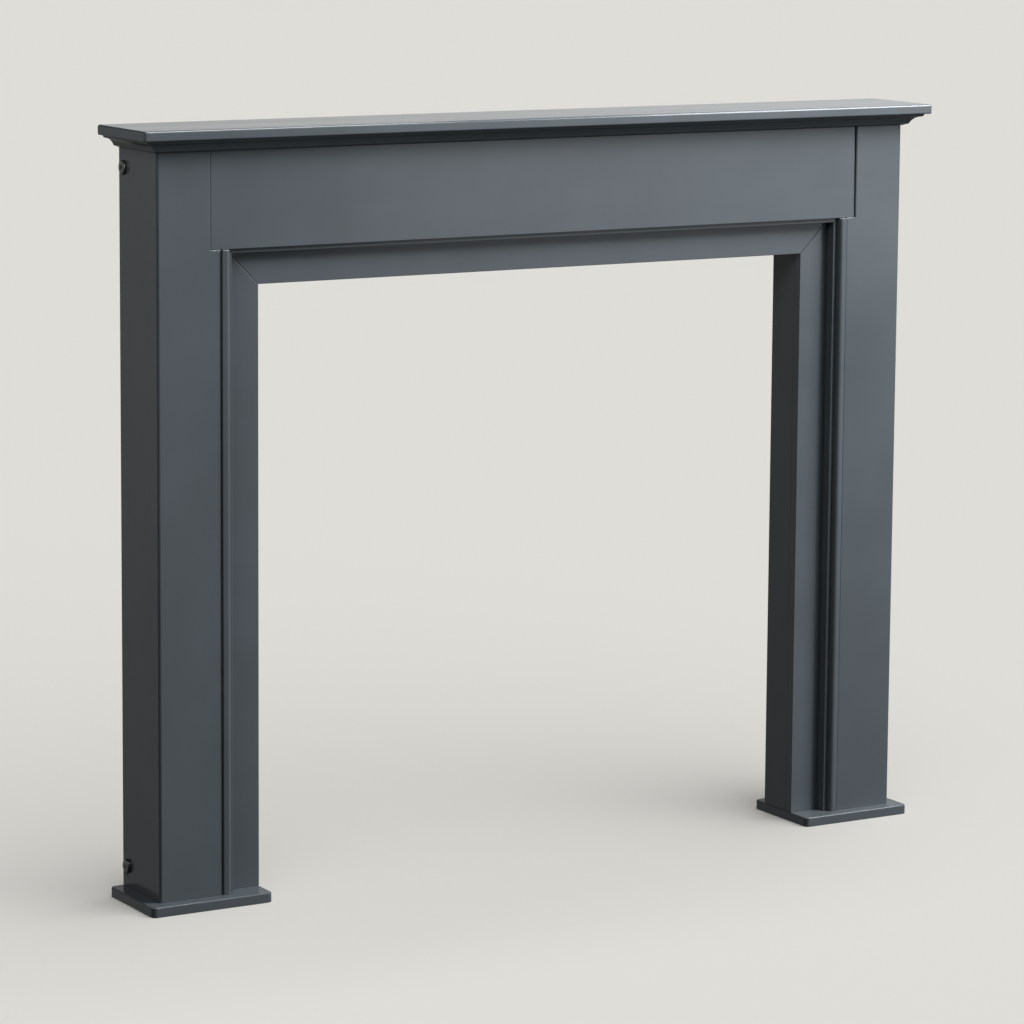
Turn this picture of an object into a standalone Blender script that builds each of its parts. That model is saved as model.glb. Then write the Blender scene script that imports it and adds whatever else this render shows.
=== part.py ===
"""A painted wooden fireplace mantelpiece: a shelf on a cornice and a frieze, carried by two boxed legs.

Metres, +Z up. The front faces -Y, and the left leg is the one at -X. The origin is on the floor, under
the middle of the shelf. Every function below measures from the wall behind the piece, where y is zero,
and the empty that carries the whole then brings it forward by half the shelf's depth. Each leg is a box
of boards, open at the back, on a plinth plate. Boards that touch keep a hairline joint between them.
"""

import math

import bmesh
import bpy
from mathutils import Matrix, Vector

# Driving dimensions
HEIGHT = 1.145
BOARD = 0.015
JOINT = 0.0003

SHELF_WIDTH = 1.370
SHELF_DEPTH = 0.160
SHELF_CORNER = 0.0045
SHELF_TOP_ARRIS = 0.0038
SHELF_UNDER_ARRIS = 0.0024

LEG_OUTSIDE = 0.650
LEG_INSIDE = 0.549
LEG_DEPTH = 0.126
LEG_CORNER = 0.0045

OPENING_HALF = 0.4765
OPENING_TOP = 0.913

FRIEZE_BOTTOM = 0.969
FRIEZE_LAP = 0.015
FRIEZE_GAP = 0.0025

CORNICE_REACH = 0.026
CORNICE_HEIGHT = 0.019
CORNICE_LIP = (0.008, 0.003)
CORNICE_SLOPE_END = (0.0228, 0.0146)
CORNICE_FILLET = (0.0240, 0.0154)
CORNICE_HOLLOW = 0.0020

SLIP_FACE = 0.103
SLIP_WIDTH = 0.0745
STRIP_INSIDE = 0.5275
STRIP_FACE = 0.1195
STRIP_DROP = 0.007

BEAD_INSIDE = 0.534
BEAD_OUTSIDE = 0.547
BEAD_ROUND = 0.006
BEAD_SLOPE = math.radians(10)
BEAD_PROUD = 0.0036

REVEAL_BACK = 0.028

PLATE_INSIDE = 0.476
PLATE_OUTSIDE = 0.672
PLATE_DEPTH = 0.148
PLATE_HEIGHT = 0.015
PLATE_CORNER = 0.008
PLATE_ARRIS = 0.0022

ARRIS = 0.0008
FINE_ARRIS = 0.0005

SCREW_HEIGHTS = {"lower": 0.047, "upper": 1.083}
SCREW_SETBACK = 0.0175
SCREW_HEAD_RADIUS = 0.0105
SCREW_HEAD_HEIGHT = 0.005
SCREW_SHOULDER = 0.0017
SCREW_SHANK_RADIUS = 0.0025
SCREW_SHANK_LENGTH = 0.012
RECESS_REACH = 0.0048
RECESS_WIDTH = 0.0021
RECESS_DEPTH = 0.0022

# Sizes that follow from them
BOARD_FOOT = PLATE_HEIGHT + JOINT
BOARD_TOP = HEIGHT - BOARD - JOINT
FRIEZE_HALF = LEG_INSIDE + FRIEZE_LAP
CORNICE_BOTTOM = HEIGHT - BOARD - CORNICE_HEIGHT
SIDES = {"left": -1, "right": 1}
LEG_MIDDLE = (PLATE_INSIDE + PLATE_OUTSIDE) / 2

# Facets
CORNER_FACETS = 7
ARRIS_FACETS = 2
COVE_FACETS = 5
BEAD_FACETS = 10
SCREW_FACETS = 24
SHOULDER_FACETS = 3
SMOOTH_BELOW = math.radians(35)
SAME_PLACE = 1e-6

PAINT_COLOUR = (0.090, 0.108, 0.122, 1.0)
PAINT_ROUGHNESS = 0.42
SCREW_COLOUR = (0.11, 0.12, 0.13, 1.0)
SCREW_ROUGHNESS = 0.35


def clear_scene():
    for obj in list(bpy.data.objects):
        bpy.data.objects.remove(obj, do_unlink=True)


# Materials


def finish_material(name, colour, roughness, metallic):
    """A plain painted or metal surface of its own for one piece."""
    material = bpy.data.materials.new(name)
    material.use_nodes = True
    shader = material.node_tree.nodes["Principled BSDF"]
    shader.inputs["Base Color"].default_value = colour
    shader.inputs["Roughness"].default_value = roughness
    shader.inputs["Metallic"].default_value = metallic
    material.diffuse_color = colour
    return material


def paint(name):
    return finish_material(name + "_paint", PAINT_COLOUR, PAINT_ROUGHNESS, 0.0)


def screw_metal(name):
    return finish_material(name + "_metal", SCREW_COLOUR, SCREW_ROUGHNESS, 0.8)


# Woodworking


def extruded(outline, low, high, axis):
    """A solid whose outline runs along one axis. Its points are given on the other two, in order."""
    bm = bmesh.new()
    corners = [bm.verts.new(point[:axis] + (low,) + point[axis:]) for point in outline]
    face = bm.faces.new(corners)
    swept = bmesh.ops.extrude_face_region(bm, geom=[face])
    moved = [item for item in swept["geom"] if isinstance(item, bmesh.types.BMVert)]
    along = Vector([high - low if index == axis else 0.0 for index in range(3)])
    bmesh.ops.translate(bm, verts=moved, vec=along)
    bmesh.ops.recalc_face_normals(bm, faces=bm.faces[:])
    return bm


def board(x, y, z):
    """A square-edged board between two limits on each axis, given in either order."""
    (left, right), (front, back), (bottom, top) = sorted(x), sorted(y), sorted(z)
    outline = [(left, front), (right, front), (right, back), (left, back)]
    return extruded(outline, bottom, top, axis=2)


def edges_at(bm, x=None, y=None, z=None):
    """The edges whose two ends both lie at the given coordinates."""
    wanted = [(axis, value) for axis, value in enumerate((x, y, z)) if value is not None]

    def lies_there(vertex):
        return all(abs(vertex.co[axis] - value) < SAME_PLACE for axis, value in wanted)

    return [edge for edge in bm.edges if all(lies_there(vertex) for vertex in edge.verts)]


def ease(bm, edges, radius, facets=ARRIS_FACETS):
    """Rounds some of the edges to a radius."""
    bmesh.ops.bevel(
        bm, geom=edges, offset=radius, segments=facets, profile=0.5, affect="EDGES", clamp_overlap=False
    )


def saw(bm, point, away):
    """Cuts off what lies past a plane, on the side that away points to, and closes the new end."""
    whole = bm.verts[:] + bm.edges[:] + bm.faces[:]
    cut = bmesh.ops.bisect_plane(bm, geom=whole, plane_co=point, plane_no=away, clear_outer=True)
    rim = [item for item in cut["geom_cut"] if isinstance(item, bmesh.types.BMEdge)]
    bmesh.ops.contextual_create(bm, geom=rim)


def saw_mitre(bm, corner, away):
    """Saws at 45 degrees through a corner, half a joint short of it."""
    direction = Vector(away).normalized()
    saw(bm, Vector(corner) - direction * JOINT / 2, direction)


def object_from(bm, name, assembly, material):
    """Makes an object of the shape, with its origin at the middle of its box, placed under its assembly."""
    bmesh.ops.recalc_face_normals(bm, faces=bm.faces[:])
    ends = [[pick(vertex.co[axis] for vertex in bm.verts) for axis in range(3)] for pick in (min, max)]
    middle = (Vector(ends[0]) + Vector(ends[1])) / 2
    bmesh.ops.translate(bm, verts=bm.verts[:], vec=-middle)
    mesh = bpy.data.meshes.new(name)
    bm.to_mesh(mesh)
    bm.free()
    mesh.shade_smooth()
    mesh.set_sharp_from_angle(angle=SMOOTH_BELOW)
    mesh.materials.append(material)
    return placed(mesh, name, assembly, middle)


def placed(mesh, name, assembly, place, rotation=(0.0, 0.0, 0.0)):
    """An object of the mesh at a place measured from the wall, parented to its assembly's empty."""
    obj = bpy.data.objects.new(name, mesh)
    obj.parent = assembly
    obj.location = Vector(place) - assembly.location
    obj.rotation_euler = rotation
    bpy.context.scene.collection.objects.link(obj)
    return obj


def assembly_at(name, place, whole=None):
    """An empty that carries an assembly's pieces, itself parented to the whole."""
    empty = bpy.data.objects.new(name, None)
    empty.parent = whole
    empty.location = place
    bpy.context.scene.collection.objects.link(empty)
    return empty


def arc(centre, radius, start, end, facets):
    """Points on an arc, both ends included. Angles run from +X towards +Y."""
    turns = [start + (end - start) * step / facets for step in range(facets + 1)]
    return [(centre[0] + radius * math.cos(a), centre[1] + radius * math.sin(a)) for a in turns]


# Shelf, cornice and frieze


def rounded_slab(x, y, z, corner, top_arris, bottom_arris):
    """A flat slab with round upright corners and eased arrises above and below."""
    bm = board(x, y, z)
    uprights = [edge for edge in bm.edges if abs(edge.verts[0].co.z - edge.verts[1].co.z) > SAME_PLACE]
    ease(bm, uprights, corner, CORNER_FACETS)
    ease(bm, edges_at(bm, z=max(z)), top_arris, ARRIS_FACETS + 1)
    ease(bm, edges_at(bm, z=min(z)), bottom_arris, ARRIS_FACETS)
    return bm


def make_shelf(head):
    half = SHELF_WIDTH / 2
    slab = rounded_slab(
        (-half, half),
        (-SHELF_DEPTH, 0.0),
        (HEIGHT - BOARD, HEIGHT),
        SHELF_CORNER,
        SHELF_TOP_ARRIS,
        SHELF_UNDER_ARRIS,
    )
    object_from(slab, "shelf", head, paint("shelf"))


def cornice_profile():
    """The moulding's section as (outward, upward) from the foot of its back: lip, shallow cove, fillet."""
    lip, slope_end = Vector(CORNICE_LIP), Vector(CORNICE_SLOPE_END)
    inward = Vector((lip.y - slope_end.y, slope_end.x - lip.x)).normalized()
    cove = []
    for step in range(COVE_FACETS + 1):
        share = step / COVE_FACETS
        hollow = CORNICE_HOLLOW * 4 * share * (1 - share)
        point = lip.lerp(slope_end, share) + inward * hollow
        cove.append((point.x, point.y))
    top = CORNICE_HEIGHT - JOINT
    return [(0.0, 0.0), *cove, CORNICE_FILLET, (CORNICE_REACH, top), (0.0, top)]


def make_cornice(head):
    """One length across the front and a return on each side, mitred together at the front corners."""
    front = LEG_DEPTH + JOINT
    outside = LEG_OUTSIDE + JOINT
    past_corner = outside + 2 * CORNICE_REACH

    outline = [(-front - out, CORNICE_BOTTOM + up) for out, up in cornice_profile()]
    bm = extruded(outline, -past_corner, past_corner, axis=0)
    for side in SIDES.values():
        saw_mitre(bm, (side * outside, -front, 0.0), (side, 1.0, 0.0))
    object_from(bm, "cornice_front", head, paint("cornice_front"))

    for label, side in SIDES.items():
        outline = [(side * (outside + out), CORNICE_BOTTOM + up) for out, up in cornice_profile()]
        bm = extruded(outline, -front - 2 * CORNICE_REACH, 0.0, axis=1)
        saw_mitre(bm, (side * outside, -front, 0.0), (-side, -1.0, 0.0))
        object_from(bm, f"cornice_{label}", head, paint(f"cornice_{label}"))


def make_frieze(head):
    """The board over the opening. Its left end is tight, and its right end leaves an open joint."""
    left, right = -FRIEZE_HALF + JOINT, FRIEZE_HALF - FRIEZE_GAP
    front, back = -LEG_DEPTH, BOARD - LEG_DEPTH
    bm = board((left, right), (front, back), (FRIEZE_BOTTOM, BOARD_TOP))
    rim = edges_at(bm, x=left, y=front) + edges_at(bm, x=right, y=front)
    ease(bm, rim + edges_at(bm, y=front, z=FRIEZE_BOTTOM), ARRIS)
    object_from(bm, "frieze_board", head, paint("frieze_board"))


# Legs


def make_front_board(label, side, leg):
    """The leg's face. It is notched at the top for the frieze board, and mitred to the side board."""
    front, back = -LEG_DEPTH, BOARD - LEG_DEPTH
    shoulder = FRIEZE_BOTTOM - JOINT
    outline = [
        (side * LEG_INSIDE, BOARD_FOOT),
        (side * LEG_OUTSIDE, BOARD_FOOT),
        (side * LEG_OUTSIDE, BOARD_TOP),
        (side * FRIEZE_HALF, BOARD_TOP),
        (side * FRIEZE_HALF, shoulder),
        (side * LEG_INSIDE, shoulder),
    ]
    bm = extruded(outline, front, back, axis=1)
    ease(bm, edges_at(bm, x=side * LEG_OUTSIDE, y=front), LEG_CORNER, CORNER_FACETS)
    notch = edges_at(bm, x=side * FRIEZE_HALF, y=front) + edges_at(bm, y=front, z=shoulder)
    ease(bm, notch + edges_at(bm, x=side * LEG_INSIDE, y=front), ARRIS)
    saw_mitre(bm, (side * LEG_OUTSIDE, front, 0.0), (side, 1.0, 0.0))
    object_from(bm, f"{label}_front_board", leg, paint(f"{label}_front_board"))


def make_side_board(label, side, leg):
    """The leg's outer cheek, with a blind hole for each screw."""
    inner = LEG_OUTSIDE - BOARD
    front = -LEG_DEPTH
    bm = board((side * inner, side * LEG_OUTSIDE), (front, 0.0), (BOARD_FOOT, BOARD_TOP))
    ease(bm, edges_at(bm, x=side * LEG_OUTSIDE, y=front), LEG_CORNER, CORNER_FACETS)
    ease(bm, edges_at(bm, x=side * LEG_OUTSIDE, y=0.0), ARRIS)
    saw_mitre(bm, (side * LEG_OUTSIDE, front, 0.0), (-side, -1.0, 0.0))
    cheek = object_from(bm, f"{label}_side_board", leg, paint(f"{label}_side_board"))
    for level in SCREW_HEIGHTS:
        drill(cheek, f"{label}_{level}_hole", screw_place(side, level), side)


def make_slip_stile(label, side, leg):
    """The flat inner frame's upright, mitred to the header slip at the opening's corner."""
    face, back = -SLIP_FACE, BOARD - SLIP_FACE
    outer = OPENING_HALF + SLIP_WIDTH
    bm = board((side * OPENING_HALF, side * outer), (face, back), (BOARD_FOOT, OPENING_TOP + SLIP_WIDTH))
    ease(bm, edges_at(bm, x=side * OPENING_HALF, y=face), ARRIS)
    saw_mitre(bm, (side * OPENING_HALF, face, OPENING_TOP), (-side, 0.0, 1.0))
    object_from(bm, f"{label}_slip", leg, paint(f"{label}_slip"))


def make_inner_strip(label, side, leg):
    """The sunk strip that backs the bead and covers the joint between the slip and the front board."""
    face, back = -STRIP_FACE, -SLIP_FACE - JOINT
    outer = LEG_INSIDE - JOINT
    bottom = FRIEZE_BOTTOM - STRIP_DROP
    bm = board((side * STRIP_INSIDE, side * outer), (face, back), (BOARD_FOOT, FRIEZE_BOTTOM - JOINT))
    ease(bm, edges_at(bm, x=side * STRIP_INSIDE, y=face), ARRIS)
    saw_mitre(bm, (side * STRIP_INSIDE, face, bottom), (-side, 0.0, 1.0))
    object_from(bm, f"{label}_inner_strip", leg, paint(f"{label}_inner_strip"))


def bead_outline(side):
    """The bead's section: round towards the opening, and a flat front that falls back towards the leg."""
    crest, foot = -LEG_DEPTH - BEAD_PROUD, -STRIP_FACE - JOINT
    centre = (BEAD_INSIDE + BEAD_ROUND, crest + BEAD_ROUND)
    front = arc(centre, BEAD_ROUND, math.pi, 1.5 * math.pi + BEAD_SLOPE, BEAD_FACETS)
    slope_start = front[-1]
    edge = slope_start[1] + (BEAD_OUTSIDE - slope_start[0]) * math.tan(BEAD_SLOPE)
    section = [(BEAD_INSIDE, foot), *front, (BEAD_OUTSIDE, edge), (BEAD_OUTSIDE, foot)]
    return [(side * x, y) for x, y in section]


def make_bead(label, side, leg):
    """A bead glued to the strip, a little proud of the leg's face, and cut off square at the top."""
    top = FRIEZE_BOTTOM - JOINT
    bm = extruded(bead_outline(side), BOARD_FOOT, top, axis=2)
    ease(bm, edges_at(bm, z=top), FINE_ARRIS, 1)
    object_from(bm, f"{label}_bead", leg, paint(f"{label}_bead"))


def make_reveal_board(label, side, leg):
    """The board that lines the side of the opening. It stops short of the wall to leave a rebate."""
    inner = OPENING_HALF + BOARD
    front, back = BOARD - SLIP_FACE + JOINT, -REVEAL_BACK
    bm = board((side * OPENING_HALF, side * inner), (front, back), (BOARD_FOOT, OPENING_TOP - JOINT))
    ease(bm, edges_at(bm, x=side * OPENING_HALF, y=back), ARRIS)
    object_from(bm, f"{label}_reveal_board", leg, paint(f"{label}_reveal_board"))


def make_plinth_plate(label, side, leg):
    slab = rounded_slab(
        (side * PLATE_INSIDE, side * PLATE_OUTSIDE),
        (-PLATE_DEPTH, 0.0),
        (0.0, PLATE_HEIGHT),
        PLATE_CORNER,
        PLATE_ARRIS,
        ARRIS,
    )
    object_from(slab, f"{label}_plinth_plate", leg, paint(f"{label}_plinth_plate"))


# Head of the opening


def make_header_slip(head):
    """The inner frame's top rail, mitred to both stiles."""
    face, back = -SLIP_FACE, BOARD - SLIP_FACE
    outer = OPENING_HALF + SLIP_WIDTH
    bm = board((-outer, outer), (face, back), (OPENING_TOP, OPENING_TOP + SLIP_WIDTH))
    ease(bm, edges_at(bm, y=face, z=OPENING_TOP), ARRIS)
    for side in SIDES.values():
        saw_mitre(bm, (side * OPENING_HALF, face, OPENING_TOP), (side, 0.0, -1.0))
    object_from(bm, "header_slip", head, paint("header_slip"))


def make_header_strip(head):
    """The sunk strip under the frieze board, mitred to the strips on the legs."""
    face, back = -STRIP_FACE, -SLIP_FACE - JOINT
    bottom = FRIEZE_BOTTOM - STRIP_DROP
    bm = board((-LEG_INSIDE, LEG_INSIDE), (face, back), (bottom, FRIEZE_BOTTOM - JOINT))
    ease(bm, edges_at(bm, y=face, z=bottom), ARRIS)
    for side in SIDES.values():
        saw_mitre(bm, (side * STRIP_INSIDE, face, bottom), (side, 0.0, -1.0))
    object_from(bm, "header_inner_strip", head, paint("header_inner_strip"))


def make_head_lining(head):
    """The board that lines the top of the opening. It lies on the two reveal boards."""
    half = OPENING_HALF + BOARD
    front, back = BOARD - SLIP_FACE + JOINT, -REVEAL_BACK
    bm = board((-half, half), (front, back), (OPENING_TOP, OPENING_TOP + BOARD))
    ease(bm, edges_at(bm, y=back, z=OPENING_TOP), ARRIS)
    object_from(bm, "head_lining", head, paint("head_lining"))


# Screws


def screw_place(side, level):
    """Where a screw's axis meets the underside of its head."""
    return Vector((side * (LEG_OUTSIDE + JOINT), -SCREW_SETBACK, SCREW_HEIGHTS[level]))


def facing_out(side):
    """The rotation that turns +Z to the outside of a leg."""
    return (0.0, side * math.pi / 2, 0.0)


def guide(mesh, name, place, side, assembly):
    """A cutter, shown as wire and left out of the model."""
    cutter = placed(mesh, name, assembly, place, facing_out(side))
    cutter.hide_render = True
    cutter.display_type = "WIRE"
    return cutter


def cut_from(obj, cutter):
    modifier = obj.modifiers.new(cutter.name, "BOOLEAN")
    modifier.operation = "DIFFERENCE"
    modifier.solver = "EXACT"
    modifier.object = cutter


def drill(obj, name, place, side):
    """A blind hole with a little room round the screw's shank."""
    depth = SCREW_SHANK_LENGTH + JOINT
    bm = bmesh.new()
    bmesh.ops.create_cone(
        bm,
        cap_ends=True,
        segments=SCREW_FACETS // 2,
        radius1=SCREW_SHANK_RADIUS + 2 * JOINT,
        radius2=SCREW_SHANK_RADIUS + 2 * JOINT,
        depth=2 * depth,
    )
    mesh = bpy.data.meshes.new(name)
    bm.to_mesh(mesh)
    bm.free()
    cut_from(obj, guide(mesh, name, place, side, obj.parent))


def screw_mesh():
    """A pan-headed screw about +Z, with the underside of its head at zero."""
    shoulder = (SCREW_HEAD_RADIUS - SCREW_SHOULDER, SCREW_HEAD_HEIGHT - SCREW_SHOULDER)
    rounding = arc(shoulder, SCREW_SHOULDER, 0.0, math.pi / 2, SHOULDER_FACETS)
    profile = [
        (0.0, -SCREW_SHANK_LENGTH),
        (SCREW_SHANK_RADIUS, -SCREW_SHANK_LENGTH),
        (SCREW_SHANK_RADIUS, 0.0),
        (SCREW_HEAD_RADIUS, 0.0),
        *rounding,
        (0.0, SCREW_HEAD_HEIGHT),
    ]
    bm = bmesh.new()
    points = [bm.verts.new((radius, 0.0, height)) for radius, height in profile]
    line = [bm.edges.new(pair) for pair in zip(points, points[1:])]
    bmesh.ops.spin(
        bm, geom=points + line, axis=(0, 0, 1), cent=(0, 0, 0), angle=math.tau, steps=SCREW_FACETS
    )
    bmesh.ops.remove_doubles(bm, verts=bm.verts[:], dist=SAME_PLACE)
    bmesh.ops.recalc_face_normals(bm, faces=bm.faces[:])
    mesh = bpy.data.meshes.new("pan_head_screw")
    bm.to_mesh(mesh)
    bm.free()
    mesh.shade_smooth()
    mesh.set_sharp_from_angle(angle=SMOOTH_BELOW)
    return mesh


def recess_mesh():
    """A cross that reaches from over the head down into it."""
    half = RECESS_WIDTH / 2
    quarter = [(RECESS_REACH, -half), (RECESS_REACH, half), (half, half)]
    outline = []
    for turn in range(4):
        rotation = Matrix.Rotation(turn * math.pi / 2, 2)
        outline += [tuple(rotation @ Vector(point)) for point in quarter]
    above = 2 * SCREW_HEAD_HEIGHT
    bm = extruded(outline, SCREW_HEAD_HEIGHT - RECESS_DEPTH, above, axis=2)
    mesh = bpy.data.meshes.new("cross_recess")
    bm.to_mesh(mesh)
    bm.free()
    return mesh


def make_screws(legs):
    """Two screws in each outer cheek, near the wall: all four share one mesh."""
    mesh, recess = screw_mesh(), recess_mesh()
    mesh.materials.append(screw_metal("screw"))
    for label, side in SIDES.items():
        for level in SCREW_HEIGHTS:
            place = screw_place(side, level)
            screw = placed(mesh, f"{label}_{level}_screw", legs[label], place, facing_out(side))
            cut_from(screw, guide(recess, f"{label}_{level}_recess", place, side, legs[label]))


def make_leg(label, side, whole):
    leg = assembly_at(f"{label}_leg", (side * LEG_MIDDLE, 0.0, 0.0), whole)
    for make_piece in (
        make_plinth_plate,
        make_front_board,
        make_side_board,
        make_reveal_board,
        make_slip_stile,
        make_inner_strip,
        make_bead,
    ):
        make_piece(label, side, leg)
    return leg


def make_head(whole):
    head = assembly_at("head", (0.0, 0.0, OPENING_TOP), whole)
    make_shelf(head)
    make_cornice(head)
    make_frieze(head)
    make_header_slip(head)
    make_header_strip(head)
    make_head_lining(head)


def main():
    clear_scene()
    whole = assembly_at("mantelpiece", (0.0, SHELF_DEPTH / 2, 0.0))
    legs = {label: make_leg(label, side, whole) for label, side in SIDES.items()}
    make_head(whole)
    make_screws(legs)


main()
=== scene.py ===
"""The look of a painted fireplace mantelpiece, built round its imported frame.

Metres, +Z up, front towards -Y. The wall behind the piece is the plane of the shelf's back edge. Each
piece is modelled again at its node's place, with rounder arrises than the solid has. The boards and the
mouldings are painted, and the screws are dark steel.
"""

import math

import bmesh
import bpy
from mathutils import Matrix, Vector


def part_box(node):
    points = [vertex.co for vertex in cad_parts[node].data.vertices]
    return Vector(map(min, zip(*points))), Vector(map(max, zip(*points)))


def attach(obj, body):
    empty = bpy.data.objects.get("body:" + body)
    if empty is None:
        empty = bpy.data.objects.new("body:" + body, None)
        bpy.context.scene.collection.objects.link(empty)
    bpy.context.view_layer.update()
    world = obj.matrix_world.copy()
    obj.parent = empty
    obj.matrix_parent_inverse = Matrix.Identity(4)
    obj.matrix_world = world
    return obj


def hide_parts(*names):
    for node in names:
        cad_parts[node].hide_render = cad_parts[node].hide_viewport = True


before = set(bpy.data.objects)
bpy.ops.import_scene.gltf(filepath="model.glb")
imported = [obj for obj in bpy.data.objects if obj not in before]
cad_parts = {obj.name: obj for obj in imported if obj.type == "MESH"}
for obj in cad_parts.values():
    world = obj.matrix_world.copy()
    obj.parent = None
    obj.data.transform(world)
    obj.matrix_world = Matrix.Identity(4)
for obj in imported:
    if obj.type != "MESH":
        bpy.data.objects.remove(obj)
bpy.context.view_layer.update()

SIDES = {"left": -1, "right": 1}
SAME_PLACE = 1e-5
SMOOTH_BELOW = math.radians(38)

# Roundings
SHELF_CORNER = 0.0045
SHELF_TOP_ARRIS = 0.0038
SHELF_UNDER_ARRIS = 0.0024
PLATE_CORNER = 0.008
PLATE_ARRIS = 0.0022
LEG_CORNER = 0.0045
ARRIS = 0.0008
FINE_ARRIS = 0.0003
NOTCH_ARRIS = 0.0024
STILE_MITRE_ARRIS = 0.0020
RAIL_MITRE_ARRIS = 0.0012
BEAD_END_ARRIS = 0.0024
CORNER_FACETS = 12
LEG_CORNER_FACETS = 13
SLAB_FACETS = 6
ARRIS_FACETS = 4
FINE_FACETS = 3

# Cornice section, measured outward and upward from the foot of its back
CORNICE_LIP = (0.008, 0.003)
CORNICE_SLOPE_END = (0.0228, 0.0146)
CORNICE_FILLET = (0.0240, 0.0154)
CORNICE_HOLLOW = 0.0028
COVE_FACETS = 16

JOINT = 0.0003
FRIEZE_LAP = 0.015
FRIEZE_SINK = 0.0004
BEAD_ROUND = 0.006
BEAD_SLOPE = math.radians(10)
BEAD_EDGE_ARRIS = 0.0006
BEAD_FACETS = 24

# Screws
SCREW_SHOULDER = 0.0017
SCREW_CROWN = 0.0005
SCREW_SHANK_RADIUS = 0.0025
SCREW_FACETS = 64
SHOULDER_FACETS = 8
CROWN_FACETS = 8
RECESS_REACH = 0.0048
RECESS_WIDTH = 0.0024
RECESS_DEPTH = 0.0026
RECESS_TAPER = 0.72
RECESS_TURN = math.radians(28)

# The camera, from its fit to the photograph. The photograph's uprights converge less than those of an
# unshifted lens, so the lens is shifted part of the way towards that.
SENSOR = 36.0
PHOTO_SIDE = 1024
FOCAL_PIXELS = 4165.7
SHIFT_PIXELS = -100.0
CAMERA_PLACE = (-3.2164, -5.3999, 1.5891)
CAMERA_AZIMUTH = math.radians(30.52)
CAMERA_PITCH = math.radians(8.137)
CAMERA_ROLL = math.radians(0.423)
CAMERA_REACH = 200.0


# Shapes


def extruded(outline, low, high, axis):
    """A solid whose outline runs along one axis. The outline's coordinates are the other two, in order."""
    bm = bmesh.new()
    corners = [bm.verts.new(point[:axis] + (low,) + point[axis:]) for point in outline]
    face = bm.faces.new(corners)
    swept = bmesh.ops.extrude_face_region(bm, geom=[face])
    moved = [item for item in swept["geom"] if isinstance(item, bmesh.types.BMVert)]
    along = Vector([high - low if index == axis else 0.0 for index in range(3)])
    bmesh.ops.translate(bm, verts=moved, vec=along)
    bmesh.ops.recalc_face_normals(bm, faces=bm.faces[:])
    return bm


def board(low, high):
    """A square-edged board that fills a box."""
    outline = [(low.x, low.y), (high.x, low.y), (high.x, high.y), (low.x, high.y)]
    return extruded(outline, low.z, high.z, axis=2)


def edges_at(bm, x=None, y=None, z=None):
    """The edges whose two ends both lie at the given coordinates."""
    wanted = [(axis, value) for axis, value in enumerate((x, y, z)) if value is not None]

    def lies_there(vertex):
        return all(abs(vertex.co[axis] - value) < SAME_PLACE for axis, value in wanted)

    return [edge for edge in bm.edges if all(lies_there(vertex) for vertex in edge.verts)]


def ease(bm, edges, radius, facets=ARRIS_FACETS):
    """Rounds some of the edges to a radius."""
    bmesh.ops.bevel(
        bm, geom=edges, offset=radius, segments=facets, profile=0.5, affect="EDGES", clamp_overlap=False
    )


def saw(bm, point, away):
    """Cuts off what lies past a plane, on the side that away points to. Returns the new end's edges."""
    whole = bm.verts[:] + bm.edges[:] + bm.faces[:]
    cut = bmesh.ops.bisect_plane(bm, geom=whole, plane_co=point, plane_no=away, clear_outer=True)
    rim = [item for item in cut["geom_cut"] if isinstance(item, bmesh.types.BMEdge)]
    bmesh.ops.contextual_create(bm, geom=rim)
    return rim


def saw_mitre(bm, corner, away):
    """Saws at 45 degrees through a corner, half a joint short of it."""
    direction = Vector(away).normalized()
    return saw(bm, Vector(corner) - direction * JOINT / 2, direction)


def arc(centre, radius, start, end, facets):
    """Points on an arc, both ends included. Angles run from the first coordinate towards the second."""
    turns = [start + (end - start) * step / facets for step in range(facets + 1)]
    return [(centre[0] + radius * math.cos(a), centre[1] + radius * math.sin(a)) for a in turns]


def mesh_of(bm, name):
    """Turns a shape into a mesh, smooth except over its sharp edges."""
    bmesh.ops.recalc_face_normals(bm, faces=bm.faces[:])
    mesh = bpy.data.meshes.new(name)
    bm.to_mesh(mesh)
    bm.free()
    mesh.shade_smooth()
    mesh.set_sharp_from_angle(angle=SMOOTH_BELOW)
    return mesh


def shown(bm, node, material):
    """Shows the shape in a node's place. Flat faces stay flat next to the rounded arrises."""
    piece = bpy.data.objects.new(f"finished_{node}", mesh_of(bm, f"finished_{node}"))
    bpy.context.scene.collection.objects.link(piece)
    piece.data.materials.append(material)
    normals = piece.modifiers.new("flat faces", "WEIGHTED_NORMAL")
    normals.keep_sharp = True
    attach(piece, "root")
    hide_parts(node)


# Materials

NOISE_MIDDLE = (0.3, 0.7)


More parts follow.
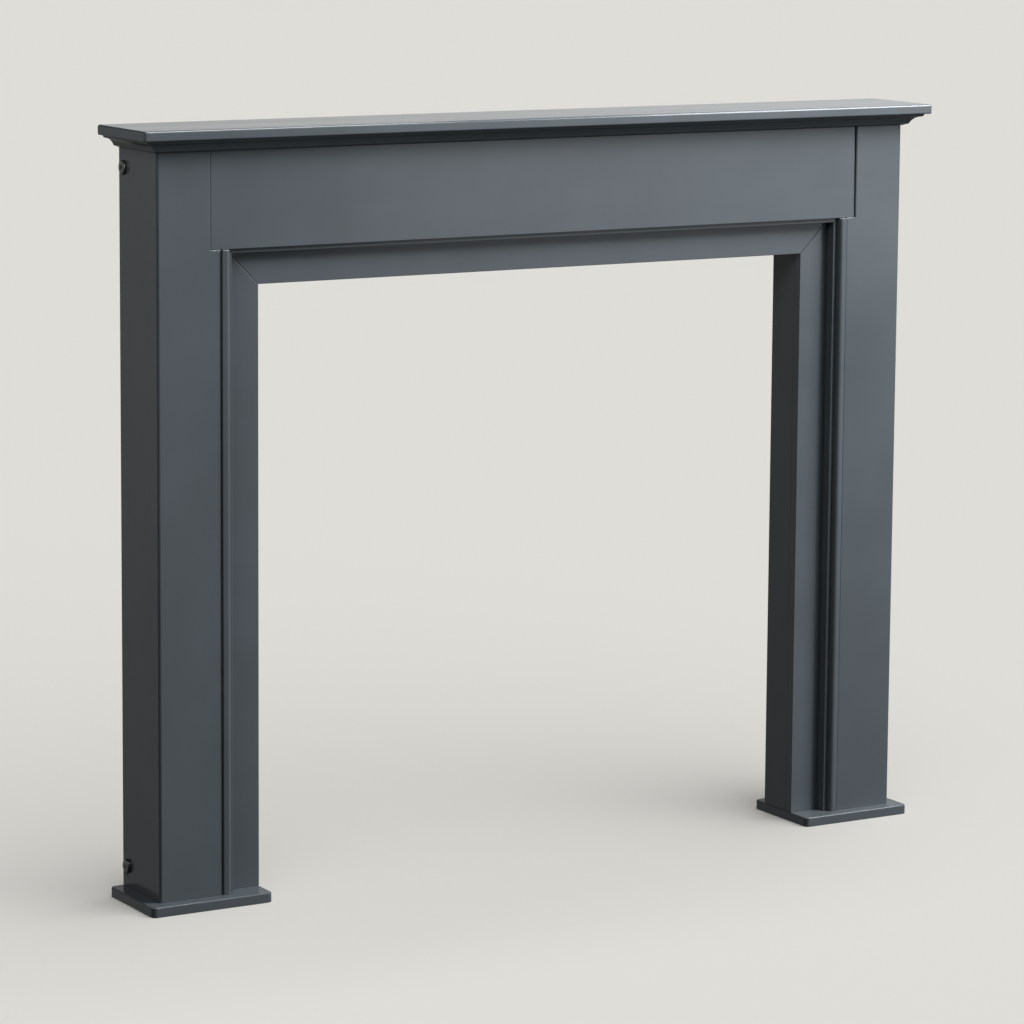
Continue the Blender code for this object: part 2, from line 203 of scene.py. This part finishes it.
class Nodes:
    """A short way to add and join a material's shader nodes."""

    def __init__(self, name):
        self.material = bpy.data.materials.new(name)
        self.material.use_nodes = True
        self.tree = self.material.node_tree
        self.shader = self.tree.nodes["Principled BSDF"]

    def add(self, kind, **settings):
        node = self.tree.nodes.new(kind)
        for key, value in settings.items():
            setattr(node, key, value)
        return node

    def join(self, source, target):
        self.tree.links.new(source, target)

    def noise(self, stretch, scale, detail=2.0):
        """Noise in the object's own metres, drawn out along the axes where stretch is small."""
        place = self.add("ShaderNodeTexCoord")
        mapping = self.add("ShaderNodeMapping")
        mapping.inputs["Scale"].default_value = stretch
        noise = self.add("ShaderNodeTexNoise")
        noise.inputs["Scale"].default_value = scale
        noise.inputs["Detail"].default_value = detail
        self.join(place.outputs["Object"], mapping.inputs["Vector"])
        self.join(mapping.outputs["Vector"], noise.inputs["Vector"])
        return noise.outputs["Fac"]

    def ranged(self, source, low, high):
        """The noise's middle, spread over a range."""
        spread = self.add("ShaderNodeMapRange")
        spread.inputs["From Min"].default_value = NOISE_MIDDLE[0]
        spread.inputs["From Max"].default_value = NOISE_MIDDLE[1]
        spread.inputs["To Min"].default_value = low
        spread.inputs["To Max"].default_value = high
        self.join(source, spread.inputs["Value"])
        return spread.outputs["Result"]

    def colours(self, source, first, second):
        """A mix of two colours that follows the source from 0 to 1."""
        mix = self.add("ShaderNodeMix", data_type="RGBA")
        mix.inputs["A"].default_value = first
        mix.inputs["B"].default_value = second
        self.join(source, mix.inputs["Factor"])
        return mix.outputs["Result"]

    def bump(self, height, distance, under=None):
        """The surface raised by a height, on top of the bump under it if there is one."""
        bump = self.add("ShaderNodeBump")
        bump.inputs["Distance"].default_value = distance
        self.join(height, bump.inputs["Height"])
        if under is not None:
            self.join(under, bump.inputs["Normal"])
        return bump.outputs["Normal"]


PAINT_DARK = (0.090, 0.105, 0.116, 1.0)
PAINT_LIGHT = (0.099, 0.116, 0.130, 1.0)
PAINT_ROUGHNESS = (0.15, 0.20)
PAINT_IOR = 1.33
CLOUD_SCALE = 9.0
SHEEN_SCALE = 26.0
SHEEN_DETAIL = 3.0
WAVE_SCALE = 40.0
WAVE_HEIGHT = 0.00006
PEEL_SCALE = 420.0
PEEL_DETAIL = 1.0
PEEL_HEIGHT = 0.000012
EVEN = (1.0, 1.0, 1.0)

STEEL_DARK = (0.14, 0.142, 0.145, 1.0)
STEEL_LIGHT = (0.25, 0.253, 0.256, 1.0)
STEEL_ROUGHNESS = (0.34, 0.46)
SPOT_SCALE = 700.0
SPOT_DETAIL = 3.0
SPOT_HEIGHT = 0.00001


def satin_paint(name, grain):
    """Satin paint on smooth board: a faint orange peel, slow waves along the board, and uneven sheen.

    The grain's vector is small along the board's length, so that the waves run with it.
    """
    nodes = Nodes(name)
    shader = nodes.shader
    shader.inputs["IOR"].default_value = PAINT_IOR
    cloud = nodes.ranged(nodes.noise(EVEN, CLOUD_SCALE), 0.0, 1.0)
    nodes.join(nodes.colours(cloud, PAINT_DARK, PAINT_LIGHT), shader.inputs["Base Color"])
    sheen = nodes.noise(grain, SHEEN_SCALE, SHEEN_DETAIL)
    nodes.join(nodes.ranged(sheen, *PAINT_ROUGHNESS), shader.inputs["Roughness"])
    waves = nodes.bump(nodes.noise(grain, WAVE_SCALE), WAVE_HEIGHT)
    peel = nodes.bump(nodes.noise(EVEN, PEEL_SCALE, PEEL_DETAIL), PEEL_HEIGHT, waves)
    nodes.join(peel, shader.inputs["Normal"])
    return nodes.material


def screw_metal():
    """Dark satin steel with fine spots of uneven sheen."""
    nodes = Nodes("dark_steel")
    shader = nodes.shader
    shader.inputs["Metallic"].default_value = 1.0
    spots = nodes.noise(EVEN, SPOT_SCALE, SPOT_DETAIL)
    tint = nodes.colours(nodes.ranged(spots, 0.0, 1.0), STEEL_DARK, STEEL_LIGHT)
    nodes.join(tint, shader.inputs["Base Color"])
    nodes.join(nodes.ranged(spots, *STEEL_ROUGHNESS), shader.inputs["Roughness"])
    nodes.join(nodes.bump(spots, SPOT_HEIGHT), shader.inputs["Normal"])
    return nodes.material


ALONG_X = (0.06, 1.0, 1.0)
ALONG_Y = (1.0, 0.06, 1.0)
ALONG_Z = (1.0, 1.0, 0.06)

paint_along_x = satin_paint("satin_paint_along_x", ALONG_X)
paint_along_y = satin_paint("satin_paint_along_y", ALONG_Y)
paint_along_z = satin_paint("satin_paint_along_z", ALONG_Z)
steel = screw_metal()


# Shelf, cornice and frieze


def rounded_slab(node, corner, top_arris, bottom_arris):
    """A flat slab with round upright corners and eased arrises above and below."""
    low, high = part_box(node)
    bm = board(low, high)
    uprights = [edge for edge in bm.edges if abs(edge.verts[0].co.z - edge.verts[1].co.z) > SAME_PLACE]
    ease(bm, uprights, corner, CORNER_FACETS)
    ease(bm, edges_at(bm, z=high.z), top_arris, SLAB_FACETS)
    ease(bm, edges_at(bm, z=low.z), bottom_arris, SLAB_FACETS)
    return bm


def cornice_profile(height, reach):
    """The moulding's section: a lip, a shallow cove and a fillet."""
    lip, slope_end = Vector(CORNICE_LIP), Vector(CORNICE_SLOPE_END)
    inward = Vector((lip.y - slope_end.y, slope_end.x - lip.x)).normalized()
    cove = []
    for step in range(COVE_FACETS + 1):
        share = step / COVE_FACETS
        hollow = CORNICE_HOLLOW * 4 * share * (1 - share)
        point = lip.lerp(slope_end, share) + inward * hollow
        cove.append((point.x, point.y))
    return [(0.0, 0.0), *cove, CORNICE_FILLET, (reach, height), (0.0, height)]


def make_cornice():
    """One length across the front and a return on each side, mitred together at the front corners."""
    low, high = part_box("cornice_front")
    front, reach, height = high.y, high.y - low.y, high.z - low.z
    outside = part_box("cornice_right")[0].x
    profile = cornice_profile(height, reach)

    outline = [(front - out, low.z + up) for out, up in profile]
    bm = extruded(outline, -outside - 2 * reach, outside + 2 * reach, axis=0)
    for side in SIDES.values():
        saw_mitre(bm, (side * outside, front, 0.0), (side, 1.0, 0.0))
    shown(bm, "cornice_front", paint_along_x)

    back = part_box("cornice_right")[1].y
    for label, side in SIDES.items():
        outline = [(side * (outside + out), low.z + up) for out, up in profile]
        bm = extruded(outline, front - 2 * reach, back, axis=1)
        saw_mitre(bm, (side * outside, front, 0.0), (-side, -1.0, 0.0))
        shown(bm, f"cornice_{label}", paint_along_y)


def make_frieze():
    """The board over the opening, a hair behind the legs' faces. Its left end is tight and its right open."""
    low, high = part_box("frieze_board")
    low.x -= JOINT
    low.y += FRIEZE_SINK
    bm = board(low, high)
    ease(bm, edges_at(bm, x=low.x, y=low.y) + edges_at(bm, y=low.y, z=low.z), FINE_ARRIS, FINE_FACETS)
    ease(bm, edges_at(bm, x=high.x, y=low.y), NOTCH_ARRIS)
    shown(bm, "frieze_board", paint_along_x)


# Legs


def inner_edge(node, side):
    """The x of a node's face towards the opening."""
    low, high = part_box(node)
    return low.x if side > 0 else high.x


def outer_face(node, side):
    """The x of a node's face away from the opening."""
    low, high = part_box(node)
    return high.x if side > 0 else low.x


def make_front_board(label, side):
    """The leg's face, notched for the frieze and mitred to the side board.

    The round corner has an odd number of facets, so that the saw runs through the middle of one.
    """
    node = f"{label}_front_board"
    low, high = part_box(node)
    front, inner, outer = low.y, inner_edge(node, side), outer_face(f"{label}_side_board", side)
    notch = inner + side * FRIEZE_LAP
    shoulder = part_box("frieze_board")[0].z
    outline = [
        (inner, low.z),
        (outer, low.z),
        (outer, high.z),
        (notch, high.z),
        (notch, shoulder),
        (inner, shoulder),
    ]
    bm = extruded(outline, front, high.y, axis=1)
    ease(bm, edges_at(bm, x=outer, y=front), LEG_CORNER, LEG_CORNER_FACETS)
    ease(bm, edges_at(bm, x=notch, y=front) + edges_at(bm, y=front, z=shoulder), NOTCH_ARRIS)
    ease(bm, edges_at(bm, x=inner, y=front), FINE_ARRIS, FINE_FACETS)
    saw_mitre(bm, (outer, front, 0.0), (side, 1.0, 0.0))
    shown(bm, node, paint_along_z)


def make_side_board(label, side):
    """The leg's outer cheek. Its screws cover their holes, so it is left whole."""
    node = f"{label}_side_board"
    low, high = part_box(node)
    front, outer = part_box(f"{label}_front_board")[0].y, outer_face(node, side)
    bm = board(Vector((low.x, front, low.z)), high)
    ease(bm, edges_at(bm, x=outer, y=front), LEG_CORNER, LEG_CORNER_FACETS)
    ease(bm, edges_at(bm, x=outer, y=high.y), ARRIS)
    saw_mitre(bm, (outer, front, 0.0), (-side, -1.0, 0.0))
    shown(bm, node, paint_along_z)


def mitred_stile(node, side, mitre_height):
    """An upright with eased arrises, cut a little long and then mitred, falling towards the opening."""
    low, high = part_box(node)
    inner = inner_edge(node, side)
    bm = board(low, Vector((high.x, high.y, high.z + ARRIS)))
    ease(bm, edges_at(bm, x=inner, y=low.y), ARRIS)
    rim = saw_mitre(bm, (inner, low.y, mitre_height), (-side, 0.0, 1.0))
    ease(bm, [edge for edge in rim if edge in edges_at(bm, y=low.y)], STILE_MITRE_ARRIS)
    return bm


def make_slip_stile(label, side):
    """The flat stile next to the opening."""
    bm = mitred_stile(f"{label}_slip", side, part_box("header_slip")[0].z)
    shown(bm, f"{label}_slip", paint_along_z)


def make_inner_strip(label, side):
    """The sunk strip behind the bead. Its top is mitred only where it meets the header's strip."""
    node = f"{label}_inner_strip"
    low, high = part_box(node)
    inner = inner_edge(node, side)
    bm = board(low, high)
    ease(bm, edges_at(bm, x=inner, y=low.y), ARRIS)
    saw_mitre(bm, (inner, low.y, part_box("header_inner_strip")[0].z), (-side, 0.0, 1.0))
    shown(bm, node, paint_along_z)


def make_bead(label, side):
    """A bead, round towards the opening, with a flat front that falls back towards the leg."""
    node = f"{label}_bead"
    low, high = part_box(node)
    inner, outer = inner_edge(node, side), outer_face(node, side)
    width = abs(outer - inner)
    centre = (BEAD_ROUND, low.y + BEAD_ROUND)
    front = arc(centre, BEAD_ROUND, math.pi, 1.5 * math.pi + BEAD_SLOPE, BEAD_FACETS)
    slope_start = front[-1]
    edge = slope_start[1] + (width - slope_start[0]) * math.tan(BEAD_SLOPE)
    section = [(0.0, high.y), *front, (width, edge), (width, high.y)]
    bm = extruded([(inner + side * across, depth) for across, depth in section], low.z, high.z, axis=2)
    ease(bm, edges_at(bm, z=high.z), BEAD_END_ARRIS, FINE_FACETS)
    ease(bm, edges_at(bm, x=outer, y=edge), BEAD_EDGE_ARRIS, FINE_FACETS)
    shown(bm, node, paint_along_z)


def make_reveal_board(label, side):
    """The board that lines the side of the opening."""
    node = f"{label}_reveal_board"
    low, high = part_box(node)
    inner = inner_edge(node, side)
    bm = board(low, high)
    ease(bm, edges_at(bm, x=inner, y=high.y) + edges_at(bm, x=inner, y=low.y), FINE_ARRIS, FINE_FACETS)
    shown(bm, node, paint_along_z)


def make_plinth_plate(label):
    """The plate that a leg stands on."""
    bm = rounded_slab(f"{label}_plinth_plate", PLATE_CORNER, PLATE_ARRIS, ARRIS)
    shown(bm, f"{label}_plinth_plate", paint_along_x)


# Head of the opening


def make_header(node, mitre_x, radius, mitre_radius):
    """A rail over the opening, cut a little long and then mitred to the uprights at both ends."""
    low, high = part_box(node)
    bm = board(Vector((low.x - ARRIS, low.y, low.z)), Vector((high.x + ARRIS, high.y, high.z)))
    ease(bm, edges_at(bm, y=low.y, z=low.z), radius)
    for side in SIDES.values():
        rim = saw_mitre(bm, (side * mitre_x, low.y, low.z), (side, 0.0, -1.0))
        ease(bm, [edge for edge in rim if edge in edges_at(bm, y=low.y)], mitre_radius, FINE_FACETS)
    shown(bm, node, paint_along_x)


def make_head_lining():
    """The board that lines the top of the opening."""
    low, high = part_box("head_lining")
    bm = board(low, high)
    ease(bm, edges_at(bm, y=high.y, z=low.z), ARRIS)
    shown(bm, "head_lining", paint_along_x)


# Screws


def turned(profile, facets):
    """A solid turned about +Z from a profile of (radius, height) that starts and ends on the axis."""
    bm = bmesh.new()
    points = [bm.verts.new((radius, 0.0, height)) for radius, height in profile]
    line = [bm.edges.new(pair) for pair in zip(points, points[1:])]
    bmesh.ops.spin(bm, geom=points + line, axis=(0, 0, 1), cent=(0, 0, 0), angle=math.tau, steps=facets)
    bmesh.ops.remove_doubles(bm, verts=bm.verts[:], dist=SAME_PLACE / 10)
    bmesh.ops.recalc_face_normals(bm, faces=bm.faces[:])
    return bm


def screw_shape(radius, proud, shank):
    """A pan head with a rounded shoulder and a slightly crowned face, on its shank."""
    edge = radius - SCREW_SHOULDER
    rim_top = proud - SCREW_CROWN
    rounding = arc((edge, rim_top - SCREW_SHOULDER), SCREW_SHOULDER, 0.0, math.pi / 2, SHOULDER_FACETS)
    shares = [step / CROWN_FACETS for step in range(1, CROWN_FACETS + 1)]
    crown = [(edge * (1 - share), rim_top + SCREW_CROWN * (1 - (1 - share) ** 2)) for share in shares]
    foot = [(0.0, -shank), (SCREW_SHANK_RADIUS, -shank), (SCREW_SHANK_RADIUS, 0.0), (radius, 0.0)]
    return turned(foot + rounding + crown, SCREW_FACETS)


def recess_shape(proud):
    """The cutter for a cross-shaped driver recess. It narrows as it goes in, and stands out past the face."""
    half = RECESS_WIDTH / 2
    quarter = [(RECESS_REACH, -half), (RECESS_REACH, half), (half, half)]
    outline = []
    for turn in range(4):
        rotation = Matrix.Rotation(turn * math.pi / 2 + RECESS_TURN, 2)
        outline += [tuple(rotation @ Vector(point)) for point in quarter]
    bottom = proud - RECESS_DEPTH
    bm = extruded(outline, bottom, proud + RECESS_DEPTH, axis=2)
    for vertex in bm.verts:
        if abs(vertex.co.z - bottom) < SAME_PLACE:
            vertex.co.xy *= RECESS_TAPER
    return bm


def make_screw(label, side, level):
    """A screw turned to face out of the leg, with its recess cut and the result kept as plain mesh."""
    node = f"{label}_{level}_screw"
    low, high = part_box(node)
    radius = (high.z - low.z) / 2
    face = outer_face(f"{label}_side_board", side) + side * JOINT
    proud, shank = abs(outer_face(node, side) - face), abs(inner_edge(node, side) - face)
    place = Vector((face, (low.y + high.y) / 2, (low.z + high.z) / 2))
    stand = Matrix.Translation(place) @ Matrix.Rotation(side * math.pi / 2, 4, "Y")

    blank = bpy.data.objects.new("screw_blank", mesh_of(screw_shape(radius, proud, shank), "screw_blank"))
    driver = bpy.data.objects.new("recess_cutter", mesh_of(recess_shape(proud), "recess_cutter"))
    for helper in (blank, driver):
        bpy.context.scene.collection.objects.link(helper)
    cut = blank.modifiers.new("recess", "BOOLEAN")
    cut.operation = "DIFFERENCE"
    cut.object = driver
    graph = bpy.context.evaluated_depsgraph_get()
    bm = bmesh.new()
    bm.from_object(blank, graph)
    bmesh.ops.transform(bm, matrix=stand, verts=bm.verts[:])
    for helper in (blank, driver):
        bpy.data.objects.remove(helper, do_unlink=True)
    shown(bm, node, steel)


# The room


FLOOR_HALF = 60.0
FLOOR_COLOUR = (0.84, 0.825, 0.79, 1.0)
FLOOR_ROUGHNESS = 0.9

# The surroundings are a low pale backdrop beyond the piece and a dimmer wall to its right. Each fades out
# sideways, and the backdrop also upwards and downwards, over ranges of the sine of the view's elevation.
# Each is given as its direction, the cosine from which it is full, and its strength.
BACKDROP = ((0.0, 1.0, 0.0), 1.0, 0.37)
RIGHT_WALL = ((0.914, -0.407, 0.0), 0.25, 0.135)
BACKDROP_TOP = (0.18, 0.38)
BACKDROP_FOOT = (-0.8, -0.05)
ROOM_COLOUR = (1.0, 0.995, 0.973, 1.0)

# Light colours
WHITE = (1.0, 1.0, 1.0)
FAINTLY_WARM = (1.0, 1.0, 0.99)
WARM = (1.0, 0.99, 0.98)
FAINTLY_COOL = (0.985, 0.985, 1.0)
COOL = (0.97, 0.985, 1.0)


def make_floor():
    """A plain pale floor that fills the view, and neither lights the piece nor shows in its gloss."""
    bm = bmesh.new()
    bmesh.ops.create_grid(bm, x_segments=2, y_segments=2, size=FLOOR_HALF)
    floor = bpy.data.objects.new("floor", mesh_of(bm, "floor"))
    bpy.context.scene.collection.objects.link(floor)
    nodes = Nodes("pale_floor")
    nodes.shader.inputs["Base Color"].default_value = FLOOR_COLOUR
    nodes.shader.inputs["Roughness"].default_value = FLOOR_ROUGHNESS
    nodes.shader.inputs["Specular IOR Level"].default_value = 0.0
    floor.data.materials.append(nodes.material)
    floor.visible_diffuse = False
    floor.visible_glossy = False
    return floor


def make_surroundings():
    """A world that is brightest towards the backdrop and towards the right wall."""
    world = bpy.data.worlds.new("studio")
    world.use_nodes = True
    nodes, links = world.node_tree.nodes, world.node_tree.links
    way = nodes.new("ShaderNodeTexCoord")

    def faded(source, start, end, first, last):
        """Runs smoothly from the first value to the last as the source runs from start to end."""
        fade = nodes.new("ShaderNodeMapRange")
        fade.interpolation_type = "SMOOTHSTEP"
        for socket, value in zip(("From Min", "From Max", "To Min", "To Max"), (start, end, first, last)):
            fade.inputs[socket].default_value = value
        links.new(source, fade.inputs["Value"])
        return fade.outputs["Result"]

    def glow(direction, reach, strength):
        """Brightness around a direction, by the cosine of the view's angle to it."""
        towards = nodes.new("ShaderNodeVectorMath")
        towards.operation = "DOT_PRODUCT"
        towards.inputs[1].default_value = direction
        links.new(way.outputs["Generated"], towards.inputs[0])
        return faded(towards.outputs["Value"], 0.0, reach, 0.0, strength)

    def joined(operation, first, second):
        """The result of a math operation on two values."""
        both = nodes.new("ShaderNodeMath")
        both.operation = operation
        links.new(first, both.inputs[0])
        links.new(second, both.inputs[1])
        return both.outputs["Value"]

    parts = nodes.new("ShaderNodeSeparateXYZ")
    links.new(way.outputs["Generated"], parts.inputs["Vector"])
    under_top = faded(parts.outputs["Z"], *BACKDROP_TOP, 1.0, 0.0)
    over_foot = faded(parts.outputs["Z"], *BACKDROP_FOOT, 0.0, 1.0)
    backdrop = joined("MULTIPLY", glow(*BACKDROP), joined("MULTIPLY", under_top, over_foot))
    background = nodes["Background"]
    background.inputs["Color"].default_value = ROOM_COLOUR
    links.new(joined("ADD", backdrop, glow(*RIGHT_WALL)), background.inputs["Strength"])
    bpy.context.scene.world = world


def make_camera():
    """The photograph's viewpoint, from the front left and a little above."""
    data = bpy.data.cameras.new("camera")
    camera = bpy.data.objects.new("camera", data)
    bpy.context.scene.collection.objects.link(camera)
    data.sensor_width = SENSOR
    data.lens = FOCAL_PIXELS / PHOTO_SIDE * SENSOR
    data.shift_y = SHIFT_PIXELS / PHOTO_SIDE
    data.clip_end = CAMERA_REACH
    camera.location = CAMERA_PLACE
    forward = Vector(
        (
            math.sin(CAMERA_AZIMUTH) * math.cos(CAMERA_PITCH),
            math.cos(CAMERA_AZIMUTH) * math.cos(CAMERA_PITCH),
            -math.sin(CAMERA_PITCH),
        )
    )
    upright = forward.to_track_quat("-Z", "Y")
    camera.rotation_mode = "QUATERNION"
    camera.rotation_quaternion = upright @ Matrix.Rotation(CAMERA_ROLL, 3, "Z").to_quaternion()
    bpy.context.scene.camera = camera


def lamp_towards(name, kind, place, direction):
    """A lamp that shines in a direction."""
    lamp = bpy.data.objects.new(name, bpy.data.lights.new(name, kind))
    lamp.location = place
    lamp.rotation_mode = "QUATERNION"
    lamp.rotation_quaternion = Vector(direction).to_track_quat("-Z", "Y")
    bpy.context.scene.collection.objects.link(lamp)
    return lamp


def softbox(name, place, aim, size, power, colour, spared):
    """A rectangular light near the piece. It doesn't light what is in the spared collection."""
    lamp = lamp_towards(name, "AREA", place, Vector(aim) - Vector(place))
    lamp.data.shape = "RECTANGLE"
    lamp.data.size, lamp.data.size_y = size
    lamp.data.energy = power
    lamp.data.color = colour
    lamp.light_linking.receiver_collection = spared
    return lamp


def overhead_light(azimuth, elevation, spread, strength, colour, lit):
    """A distant soft light for what is in the lit collection. Azimuth runs from the front to the right."""
    turn, rise = math.radians(azimuth), math.radians(elevation)
    towards = Vector((math.sin(turn) * math.cos(rise), -math.cos(turn) * math.cos(rise), math.sin(rise)))
    lamp = lamp_towards("overhead", "SUN", towards, -towards)
    lamp.data.energy = strength
    lamp.data.angle = math.radians(spread)
    lamp.data.color = colour
    lamp.light_linking.receiver_collection = lit


def linked(name, item, state):
    """A collection that links lights to one object, or keeps them off it."""
    collection = bpy.data.collections.new(name)
    collection.objects.link(item)
    collection.collection_objects[0].light_linking.link_state = state
    return collection


def make_lights(floor):
    """Softboxes light the piece, and a distant overhead light the floor.

    Above the shelf, the strip gives the diffuse light, and the wide sheen box is seen in the gloss alone,
    where it draws the bright lines along the eased edges.
    """
    spared = linked("all but the floor", floor, "EXCLUDE")
    overhead_light(
        azimuth=30.0,
        elevation=60.0,
        spread=100.0,
        strength=2.93,
        colour=FAINTLY_WARM,
        lit=linked("the floor", floor, "INCLUDE"),
    )
    softbox(
        "key",
        place=(2.3, -1.8, 2.9),
        aim=(0.2, 0.0, 0.7),
        size=(1.3, 1.3),
        power=165.0,
        colour=FAINTLY_COOL,
        spared=spared,
    )
    softbox(
        "front",
        place=(1.9, -2.6, 1.3),
        aim=(0.2, 0.0, 0.8),
        size=(1.6, 1.5),
        power=14.2,
        colour=COOL,
        spared=spared,
    )
    strip = softbox(
        "strip",
        place=(0.9, -0.5, 2.6),
        aim=(0.9, 0.0, 1.0),
        size=(0.5, 1.2),
        power=33.0,
        colour=WHITE,
        spared=spared,
    )
    strip.visible_glossy = False
    sheen = softbox(
        "sheen",
        place=(0.975, -0.5, 2.6),
        aim=(0.975, 0.0, 1.0),
        size=(2.45, 1.2),
        power=162.0,
        colour=WHITE,
        spared=spared,
    )
    sheen.visible_diffuse = False
    softbox(
        "left",
        place=(-1.9, -1.0, 1.9),
        aim=(-0.65, 0.0, 0.9),
        size=(0.9, 0.9),
        power=13.5,
        colour=FAINTLY_WARM,
        spared=spared,
    )
    softbox(
        "back",
        place=(1.7, 2.9, 1.9),
        aim=(0.0, 0.0, 1.1),
        size=(3.4, 1.6),
        power=5.2,
        colour=WARM,
        spared=spared,
    )


make_camera()
bpy.context.scene.view_settings.view_transform = "Standard"
shelf = rounded_slab("shelf", SHELF_CORNER, SHELF_TOP_ARRIS, SHELF_UNDER_ARRIS)
shown(shelf, "shelf", paint_along_x)
make_cornice()
make_frieze()
make_header("header_slip", inner_edge("right_slip", SIDES["right"]), ARRIS, RAIL_MITRE_ARRIS)
make_header("header_inner_strip", inner_edge("right_inner_strip", SIDES["right"]), FINE_ARRIS, FINE_ARRIS)
make_head_lining()
for label, side in SIDES.items():
    make_plinth_plate(label)
    make_front_board(label, side)
    make_side_board(label, side)
    make_reveal_board(label, side)
    make_slip_stile(label, side)
    make_inner_strip(label, side)
    make_bead(label, side)
    for level in ("lower", "upper"):
        make_screw(label, side, level)
make_surroundings()
make_lights(make_floor())
